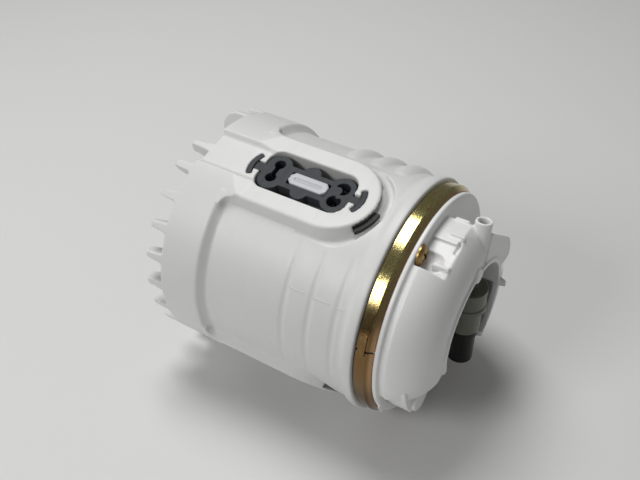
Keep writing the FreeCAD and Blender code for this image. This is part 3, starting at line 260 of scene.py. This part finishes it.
def plastic(name, light, dark, gloss, grain, milk=0.0, mirror=0.5):
    """A moulded plastic in two near colours.

    Milk is the share of the light that soaks in, and mirror how strongly it reflects.
    """
    material, shader = finished_by(plastic_group, name, Light=light, Dark=dark, Gloss=gloss, Grain=grain)
    shader.inputs["Subsurface Weight"].default_value = milk
    shader.inputs["Subsurface Radius"].default_value = soak_radius
    shader.inputs["Subsurface Scale"].default_value = soak_depth
    shader.inputs["Specular IOR Level"].default_value = mirror
    return material


pot_light = (0.73, 0.73, 0.72, 1.0)
pot_dark = (0.66, 0.66, 0.64, 1.0)
pot_acetal = plastic("pot_acetal", pot_light, pot_dark, gloss=0.43, grain=0.12, milk=0.35)
give(node["reservoir_housing"], pot_acetal)

weld_gap = 1e-6
ease_share = 0.5
moulded_triangles = 190000
block_sides = ((0, 1, 3, 2), (4, 6, 7, 5), (0, 4, 5, 1), (2, 3, 7, 6), (0, 2, 6, 4), (1, 5, 7, 3))


def moulded(name, material, cell, rounds, added=()):
    """A node's shape with its corners rounded as a mould leaves them, in place of the node.

    The node's triangles are welded, laid anew on a grid of cells and eased: at each round every
    point goes half way to the middle of its neighbours, which takes about a cell off a corner in
    all. Flat stretches are thinned out afterwards. Each added block, an array of its eight
    corners, merges with the shape.
    """
    welded = bmesh.new()
    welded.from_mesh(node[name].data)
    for points in added:
        corners = [welded.verts.new(point) for point in points.tolist()]
        for side in block_sides:
            welded.faces.new([corners[index] for index in side])
    bmesh.ops.remove_doubles(welded, verts=welded.verts, dist=weld_gap)
    mesh = bpy.data.meshes.new(name + "_welded")
    welded.to_mesh(mesh)
    welded.free()
    draft = bpy.data.objects.new(name + "_draft", mesh)
    bpy.context.scene.collection.objects.link(draft)
    grid = draft.modifiers.new("grid", "REMESH")
    grid.mode = "VOXEL"
    grid.voxel_size = cell
    ease = draft.modifiers.new("ease", "SMOOTH")
    ease.factor = ease_share
    ease.iterations = rounds
    quads = len(draft.evaluated_get(bpy.context.evaluated_depsgraph_get()).data.polygons)
    thin = draft.modifiers.new("thin", "DECIMATE")
    thin.ratio = min(1.0, moulded_triangles / (2.0 * quads))
    finished = draft.evaluated_get(bpy.context.evaluated_depsgraph_get())
    made = bpy.data.objects.new(name + "_moulded", bpy.data.meshes.new_from_object(finished))
    made.data.polygons.foreach_set("use_smooth", [True] * len(made.data.polygons))
    bpy.context.scene.collection.objects.link(made)
    bpy.data.objects.remove(draft)
    give(made, material)
    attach(made, "pump")
    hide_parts(name)


frame_degs = (13.5, 133.5, 253.5)
backing_x = (-0.0825, -0.0655)
backing_u = (-0.0110, 0.0110)
backing_h = (0.0434, 0.0449)


def at_frame(x, u, h, deg):
    """Points of a damper frame, x along the pot, u across the frame and h out of it, turned round X."""
    a = math.radians(deg)
    y = -u * math.cos(a) - h * math.sin(a)
    z = h * math.cos(a) - u * math.sin(a)
    return np.stack([x, y, z], axis=-1)


def flat_backing(deg):
    """Corners of the wall behind the flat that leads from the toothed rim to one frame."""
    x, u, h = np.meshgrid(backing_x, backing_u, backing_h, indexing="ij")
    return at_frame(x, u, h, deg).reshape(8, 3)


backings = [flat_backing(deg) for deg in frame_degs]
moulded("reservoir_housing", pot_acetal, cell=0.00042, rounds=4, added=backings)

# Mould's parting line
# A fine raised line of flash along the pot, of the same acetal, where the halves of its mould met.
# It is left out where the shallow grooves cross it.
parting_deg = 61.4
parting_r = 0.0448
parting_half = 0.00020
parting_proud = 0.00014
parting_sunk = 0.00002
parting_end_slope = 12.0
parting_spans = ((-0.0338, -0.0330), (-0.0289, -0.0222), (-0.0196, -0.0123), (-0.0100, -0.0032))


def grid_faces(rows, columns, closed=False):
    """Quads of a grid of points, rows first; closed joins the last column to the first."""
    index = np.arange(rows * columns).reshape(rows, columns)
    if closed:
        index = np.hstack([index, index[:, :1]])
    corners = [index[:-1, :-1], index[:-1, 1:], index[1:, 1:], index[1:, :-1]]
    return np.stack(corners, axis=-1).reshape(-1, 4)


def parting_bead(x0, x1, steps=16, sides=9):
    """Low round bead along X on the pot.

    Its height is a half cosine over its width. Along its length it rises from nothing to full
    height within a twelfth of the length, and falls in the same way.
    """
    along = np.linspace(0.0, 1.0, steps)
    across = np.linspace(-1.0, 1.0, sides)
    u, v = np.meshgrid(along, across, indexing="ij")
    taper = np.minimum(1.0, parting_end_slope * np.minimum(u, 1.0 - u))
    rise = parting_proud * np.cos(v * math.pi / 2.0) * taper
    angle = math.radians(parting_deg) + v * parting_half / parting_r
    radius = parting_r - parting_sunk + rise
    points = np.stack([x0 + (x1 - x0) * u, -radius * np.sin(angle), radius * np.cos(angle)], axis=-1)
    return points.reshape(-1, 3), grid_faces(steps, sides)


for number, (x0, x1) in enumerate(parting_spans, 1):
    line = new_object("parting_line_%d" % number, *parting_bead(x0, x1))
    give(line, pot_acetal)
    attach(line, "pump")

# Damper pads
# Moulded slate grey rubber, matt, with a little dust in its pores. The T-shaped heads of each pad
# are buttoned into its frame.
rubber_light = (0.028, 0.033, 0.039, 1.0)
rubber_dark = (0.020, 0.024, 0.028, 1.0)
slate_rubber = plastic("slate_rubber", rubber_light, rubber_dark, gloss=0.62, grain=0.5)
for number in (1, 2, 3):
    give(node["damper_pad_%d" % number], slate_rubber)
    moulded("damper_pad_%d" % number, slate_rubber, cell=0.00022, rounds=3)

# Pump carrier
# A cage of greyer acetal round the pump, moulded in one. Its three grooved tongues stick through
# the pads, which carry it. The strainer on the pump's inlet is of the same acetal.
carrier_light = (0.52, 0.54, 0.555, 1.0)
carrier_dark = (0.46, 0.475, 0.485, 1.0)
carrier_acetal = plastic("carrier_acetal", carrier_light, carrier_dark, gloss=0.40, grain=0.15)
give(node["pump_carrier"], carrier_acetal)
moulded("pump_carrier", carrier_acetal, cell=0.00036, rounds=2)
give(node["inlet_strainer"], carrier_acetal)

# Clamp band
# Thin steel strip rolled round pot and cover, zinc plated and yellow passivated, so that its gold
# shifts to green and pink along the strip. Round its lower front it is painted brown, a painted
# dark reflection of the surroundings. The film is crackled over fine rolling marks.
band_gold = (0.66, 0.54, 0.24, 1.0)
band_green = (0.47, 0.45, 0.18, 1.0)
band_pink = (0.50, 0.31, 0.17, 1.0)
# The brown is painted shade: a dark reflection painted on the band's lower front.
band_shade_brown = (0.20, 0.12, 0.050, 1.0)
band_dark = (0.13, 0.11, 0.03, 1.0)
film_stops = ((0.44, band_gold), (0.52, band_green), (0.60, band_gold))
film_first_stop = 0.30
film_last_stop = 0.72
film_patch = (780.0, 230.0, 230.0)
film_crackle = 2400.0
speck_level = 0.48
speck_contrast = 5.0
speck_share = 0.75
# Where and how strongly the band's lower front is painted brown, as a painted dark reflection.
painted_shade_middle = math.radians(-106.0)
painted_shade_patchiness = 0.5
painted_shade_level = 0.62
painted_shade_contrast = 2.2
rolling_marks = 6000.0
rolling_marks_round = 9.0
rolling_relief = 0.4
roll_start = 0.0049
roll_contrast = 1200.0
roll_share = 0.6
film_roughness = 0.02
film_roughness_spread = 0.13
film_relief = 0.5
film_relief_depth = 0.00005


def between(tree, value, level, contrast):
    """How far a value is past a level, times the contrast, held between 0 and 1."""
    past = maths(tree, "MULTIPLY", maths(tree, "SUBTRACT", value, level), contrast)
    held = tree.nodes.new("ShaderNodeClamp")
    tree.links.new(past, held.inputs["Value"])
    return held.outputs["Result"]


def passivated_steel():
    """Film colours, marks and crackle of yellow passivated zinc.

    A noise of long patches picks the film's colour from a ramp, and fine noise adds dark specks.
    The colour turns brown by the cosine of the angle from the strip's lower front, which is a
    painted dark reflection, and pink on the rolled edge, by X. Noise drawn out round the axis
    gives the rolling marks. Roughness and relief are sums of these marks and the fine noise.
    """
    material, tree, shader = new_material("passivated_steel")
    links = tree.links
    where = tree.nodes.new("ShaderNodeTexCoord").outputs["Object"]
    parts = tree.nodes.new("ShaderNodeSeparateXYZ")
    links.new(where, parts.inputs["Vector"])
    angle = maths(tree, "ARCTAN2", parts.outputs["Y"], parts.outputs["Z"])

    strip = tree.nodes.new("ShaderNodeCombineXYZ")
    links.new(maths(tree, "MULTIPLY", parts.outputs["X"], rolling_marks), strip.inputs["X"])
    links.new(maths(tree, "MULTIPLY", angle, rolling_marks_round), strip.inputs["Y"])
    marks = place(tree, "ShaderNodeTexNoise", Scale=1.0, Detail=3.0)
    links.new(strip.outputs["Vector"], marks.inputs["Vector"])
    crackle = place(tree, "ShaderNodeTexNoise", Scale=film_crackle, Detail=4.0)
    links.new(where, crackle.inputs["Vector"])
    patch = place(tree, "ShaderNodeMapping", Scale=film_patch)
    links.new(where, patch.inputs["Vector"])
    tint = place(tree, "ShaderNodeTexNoise", Scale=1.0, Detail=4.0, Distortion=0.5)
    links.new(patch.outputs["Vector"], tint.inputs["Vector"])

    ramp = tree.nodes.new("ShaderNodeValToRGB")
    ramp.color_ramp.elements[0].position = film_first_stop
    ramp.color_ramp.elements[0].color = band_green
    ramp.color_ramp.elements[1].position = film_last_stop
    ramp.color_ramp.elements[1].color = band_pink
    for position, colour in film_stops:
        ramp.color_ramp.elements.new(position).color = colour
    links.new(tint.outputs["Fac"], ramp.inputs["Fac"])

    specks = between(tree, crackle.outputs["Fac"], speck_level, speck_contrast)
    specks = maths(tree, "MULTIPLY", specks, speck_share)
    colour = blended(tree, specks, ramp.outputs["Color"], band_dark)
    # Painted shade: the lower front turns brown, a painted dark reflection, by the cosine of the angle from
    # it plus some tint noise.
    lower = maths(tree, "COSINE", maths(tree, "SUBTRACT", angle, painted_shade_middle))
    lower = maths(tree, "ADD", lower, maths(tree, "MULTIPLY", tint.outputs["Fac"], painted_shade_patchiness))
    colour = blended(tree, between(tree, lower, painted_shade_level, painted_shade_contrast), colour, band_shade_brown)
    rolled = between(tree, parts.outputs["X"], roll_start, roll_contrast)
    colour = blended(tree, maths(tree, "MULTIPLY", rolled, roll_share), colour, band_pink)
    links.new(colour, shader.inputs["Base Color"])
    shader.inputs["Metallic"].default_value = 1.0

    rough = maths(tree, "ADD", marks.outputs["Fac"], crackle.outputs["Fac"])
    rough = maths(tree, "MULTIPLY", rough, film_roughness_spread)
    links.new(maths(tree, "ADD", rough, film_roughness), shader.inputs["Roughness"])
    relief = maths(tree, "MULTIPLY", marks.outputs["Fac"], rolling_relief)
    relief = maths(tree, "ADD", relief, crackle.outputs["Fac"])
    bump = place(tree, "ShaderNodeBump", Strength=film_relief, Distance=film_relief_depth)
    links.new(relief, bump.inputs["Height"])
    links.new(bump.outputs["Normal"], shader.inputs["Normal"])
    return material


give(node["clamp_band"], passivated_steel())

# Cover
# A domed moulding in acetal a shade lighter, glossier and milkier than the pot's. The band and two
# screws hold it on the pot.
cover_light = (0.82, 0.82, 0.815, 1.0)
cover_dark = (0.77, 0.77, 0.755, 1.0)
cover_acetal = plastic("cover_acetal", cover_light, cover_dark, gloss=0.36, grain=0.10, milk=0.5)
give(node["end_cover"], cover_acetal)
moulded("end_cover", cover_acetal, cell=0.00032, rounds=4)

# Seals and valve rubber
# Black rubber rings, one pressed between pot and cover and two that hold the motor can in its
# carrier, and the foot valve's disc, held at its middle.
seal_light = (0.014, 0.014, 0.014, 1.0)
seal_dark = (0.008, 0.008, 0.008, 1.0)
black_rubber = plastic("black_rubber", seal_light, seal_dark, gloss=0.6, grain=0.3)
for name in ("cover_seal", "can_ring_upper", "can_ring_lower", "foot_valve"):
    give(node[name], black_rubber)

# Undercut shade strips
# A thin black rubber strip is tucked into the undercut of each frame's round end, where it shows
# as a dark slit. It is painted shade: a black piece put where the undercut lies in shade.
shade_strip_middle_x = -0.0281
shade_strip_r = (0.0160, 0.0182)
shade_strip_h = (0.0418, 0.0434)
shade_strip_span = (math.radians(3.0), math.radians(39.0))


def tube_faces(rows, sides):
    """Faces of a closed tube: the quads between its sections, and a cap at each end."""
    caps = [range(sides - 1, -1, -1), range((rows - 1) * sides, rows * sides)]
    return list(grid_faces(rows, sides, closed=True)) + caps


def undercut_shade_strip(deg, steps=24):
    """A bent bar: an oblong section carried along an arc round the frame's end."""
    bend = np.linspace(shade_strip_span[0], shade_strip_span[1], steps)[:, None]
    r = np.array([shade_strip_r[0], shade_strip_r[1], shade_strip_r[1], shade_strip_r[0]])[None, :]
    h = np.array([shade_strip_h[0], shade_strip_h[0], shade_strip_h[1], shade_strip_h[1]])[None, :] + 0.0 * bend
    points = at_frame(shade_strip_middle_x + r * np.cos(bend), r * np.sin(bend), h, deg)
    return points.reshape(-1, 3), tube_faces(steps, 4)


# Painted shade: a black strip in each frame's undercut.
for number, deg in enumerate(frame_degs, 1):
    made = new_object("pad_foot_%d" % number, *undercut_shade_strip(deg), smooth=False)
    give(made, black_rubber)
    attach(made, "pump")

# Cover screws
# Two domed-head screws of yellow passivated steel, duller than the band. They sit in the cover's
# recesses, and their heads show the marks of turning.
round_x = (4000.0, 60.0, 60.0)
stain_scale = 90.0
stain_sharpness = 2.0
marks_dulling = 0.2
marks_relief = 0.3
marks_depth = 0.00004


def worked_metal_group():
    """Tool marks and stain of a bare metal.

    Colour is the metal's mixed with its stain by the square of coarse noise. Roughness is Polish
    plus a share of the marks, a noise drawn out by Stretch. Normal is bumped by the marks.
    """
    group = bpy.data.node_groups.new("worked_metal", "ShaderNodeTree")
    socket(group, "Metal", "INPUT", "NodeSocketColor")
    socket(group, "Stain", "INPUT", "NodeSocketColor")
    socket(group, "Polish", "INPUT", "NodeSocketFloat")
    socket(group, "Stretch", "INPUT", "NodeSocketVector")
    socket(group, "Colour", "OUTPUT", "NodeSocketColor")
    socket(group, "Roughness", "OUTPUT", "NodeSocketFloat")
    socket(group, "Normal", "OUTPUT", "NodeSocketVector")
    start = group.nodes.new("NodeGroupInput")
    end = group.nodes.new("NodeGroupOutput")
    where = group.nodes.new("ShaderNodeTexCoord").outputs["Object"]
    links = group.links

    stretched = group.nodes.new("ShaderNodeMapping")
    links.new(where, stretched.inputs["Vector"])
    links.new(start.outputs["Stretch"], stretched.inputs["Scale"])
    marks = place(group, "ShaderNodeTexNoise", Scale=1.0, Detail=3.0)
    links.new(stretched.outputs["Vector"], marks.inputs["Vector"])
    cloud = place(group, "ShaderNodeTexNoise", Scale=stain_scale, Detail=3.0)
    links.new(where, cloud.inputs["Vector"])

    stained = maths(group, "POWER", cloud.outputs["Fac"], stain_sharpness)
    colour = blended(group, stained, start.outputs["Metal"], start.outputs["Stain"])
    links.new(colour, end.inputs["Colour"])
    dulled = maths(group, "MULTIPLY", marks.outputs["Fac"], marks_dulling)
    links.new(maths(group, "ADD", dulled, start.outputs["Polish"]), end.inputs["Roughness"])
    bump = place(group, "ShaderNodeBump", Strength=marks_relief, Distance=marks_depth)
    links.new(marks.outputs["Fac"], bump.inputs["Height"])
    links.new(bump.outputs["Normal"], end.inputs["Normal"])
    return group


metal_group = worked_metal_group()


def bare_metal(name, colour, stain, polish, stretch):
    """A bare metal with its stain's colour, the roughness it is polished to, and its marks' stretch."""
    material, shader = finished_by(
        metal_group, name, Metal=colour + (1.0,), Stain=stain + (1.0,), Polish=polish, Stretch=stretch
    )
    shader.inputs["Metallic"].default_value = 1.0
    return material


screw_steel = bare_metal(
    "screw_steel", (0.40, 0.27, 0.11), stain=(0.24, 0.17, 0.07), polish=0.30, stretch=round_x
)
for name in ("cover_screw_1", "cover_screw_2"):
    give(node[name], screw_steel)

# Jet pump body and sleeve
# Olive-grey moulding that lies behind the cover's opening, with a black glass-filled sleeve pushed
# on its lower end.
olive = plastic(
    "olive_plastic", (0.120, 0.124, 0.092, 1.0), (0.085, 0.088, 0.064, 1.0), gloss=0.38, grain=0.2
)
black_plastic = plastic(
    "black_plastic", (0.004, 0.004, 0.004, 1.0), (0.003, 0.003, 0.003, 1.0), gloss=0.30, grain=0.2, mirror=0.2
)
give(node["jet_pump_body"], olive)
moulded("jet_pump_body", olive, cell=0.00022, rounds=3)
give(node["jet_sleeve"], black_plastic)

# Motor can and magnets
# A plated steel can, deep drawn, so that its marks run round it. Two pressed ferrite shells are
# fixed inside it.
can_steel = bare_metal(
    "can_steel", (0.56, 0.56, 0.54), stain=(0.42, 0.41, 0.36), polish=0.24, stretch=round_x
)
ferrite = plastic("ferrite", (0.11, 0.11, 0.115, 1.0), (0.075, 0.075, 0.075, 1.0), gloss=0.6, grain=0.4)
give(node["motor_can"], can_steel)
for name in ("magnet_1", "magnet_2"):
    give(node[name], ferrite)

# Rotor and bushes
# A ground steel shaft with stamped laminations, copper windings and a copper commutator pressed
# on it. It turns in two bushes of sintered bronze.
sheets = (5200.0, 20.0, 20.0)
pores = (2500.0, 2500.0, 2500.0)
ground_steel = bare_metal(
    "ground_steel", (0.60, 0.60, 0.60), stain=(0.50, 0.50, 0.50), polish=0.16, stretch=round_x
)
lamination = bare_metal(
    "laminated_steel", (0.32, 0.32, 0.33), stain=(0.20, 0.19, 0.18), polish=0.36, stretch=sheets
)
copper = bare_metal("copper", (0.70, 0.34, 0.19), stain=(0.42, 0.20, 0.12), polish=0.25, stretch=round_x)
bronze = bare_metal(
    "sintered_bronze", (0.46, 0.32, 0.17), stain=(0.30, 0.20, 0.11), polish=0.42, stretch=pores
)
give(node["motor_shaft"], ground_steel)
give(node["armature_core"], lamination)
for name in ("commutator", "armature_winding"):
    give(node[name], copper)
for name in ("outlet_end_bush", "inlet_end_bush"):
    give(node[name], bronze)

# Outlet cap, brushes and terminals
# The black glass-filled cap closes the can's upper end. It holds two blocks of pressed carbon, the
# brushes, and two stamped terminals of tinned brass.
along_x = (40.0, 3000.0, 3000.0)
carbon = plastic("carbon", (0.035, 0.035, 0.037, 1.0), (0.022, 0.022, 0.022, 1.0), gloss=0.5, grain=0.5)
tin = bare_metal("tinned_brass", (0.68, 0.66, 0.58), stain=(0.52, 0.46, 0.30), polish=0.22, stretch=along_x)
give(node["outlet_cap"], black_plastic)
for name in ("brush_1", "brush_2"):
    give(node[name], carbon)
for name in ("terminal_1", "terminal_2"):
    give(node[name], tin)

# Pump chamber
# The vaned impeller of brown phenolic turns between a plate of the same phenolic and the black
# inlet plate, which closes the can's lower end.
phenolic = plastic("phenolic", (0.19, 0.11, 0.06, 1.0), (0.12, 0.07, 0.04, 1.0), gloss=0.45, grain=0.3)
for name in ("impeller", "pump_plate"):
    give(node[name], phenolic)
give(node["inlet_plate"], black_plastic)

# Valves
# The check valve's poppet is moulded of the jet pump's olive plastic. The relief valve's piston
# and both guides are turned and ground steel.
give(node["check_valve"], olive)
for name in ("relief_valve", "outlet_guide", "relief_guide"):
    give(node[name], ground_steel)

# Springs
# Round steel wire wound into coils. Two press the brushes on the commutator, and one closes each
# valve and is squeezed as the valve opens.
brush_wire = 0.00022
brush_turns = 7
valve_wire = 0.00025
valve_turns = 6
spring_wire = bare_metal(
    "spring_wire", (0.52, 0.52, 0.52), stain=(0.40, 0.39, 0.37), polish=0.2, stretch=along_x
)


def coil(start, end, radius, wire, turns, steps=24, sides=8):
    """Tube round a helix from start to end.

    The helix turns at a constant radius round the line between the points, and each section of
    the tube is a circle of the wire's radius in the plane through that line.
    """
    length = np.linalg.norm(end - start)
    axis = (end - start) / length
    side = np.cross(axis, (0.0, 0.0, 1.0))
    other = np.cross(axis, side)
    t = np.linspace(0.0, 1.0, int(turns * steps) + 1)
    angle = 2.0 * math.pi * turns * t
    inset = wire / length
    middle = start + np.outer(inset + (1.0 - 2.0 * inset) * t, end - start)
    outward = np.outer(np.cos(angle), side) + np.outer(np.sin(angle), other)
    middle = middle + outward * (radius - wire)
    around = np.linspace(0.0, 2.0 * math.pi, sides, endpoint=False)[None, :, None]
    section = np.cos(around) * outward[:, None, :] + np.sin(around) * axis[None, None, :]
    points = middle[:, None, :] + wire * section
    return points.reshape(-1, 3), tube_faces(len(t), sides)


def spring_for(name, axis, wire, turns, joint=None):
    """A wound spring that fills the plain one's box; a joint, if any, gives it a mesh of its own."""
    low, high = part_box(name)
    middle = (np.array(low) + np.array(high)) / 2.0
    start = middle.copy()
    end = middle.copy()
    start[axis] = low[axis]
    end[axis] = high[axis]
    radius = (high[2] - low[2]) / 2.0
    points, faces = coil(start, end, radius, wire, turns)
    made = new_object(name + "_coil", points, faces)
    give(made, spring_wire)
    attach(made, "pump")
    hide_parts(name)
    if joint:
        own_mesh(made)


spring_for("brush_spring_1", 1, brush_wire, brush_turns)
spring_for("brush_spring_2", 1, brush_wire, brush_turns)
spring_for("check_spring", 0, valve_wire, valve_turns, "check_valve_slide")
spring_for("relief_spring", 0, valve_wire, valve_turns, "relief_valve_slide")
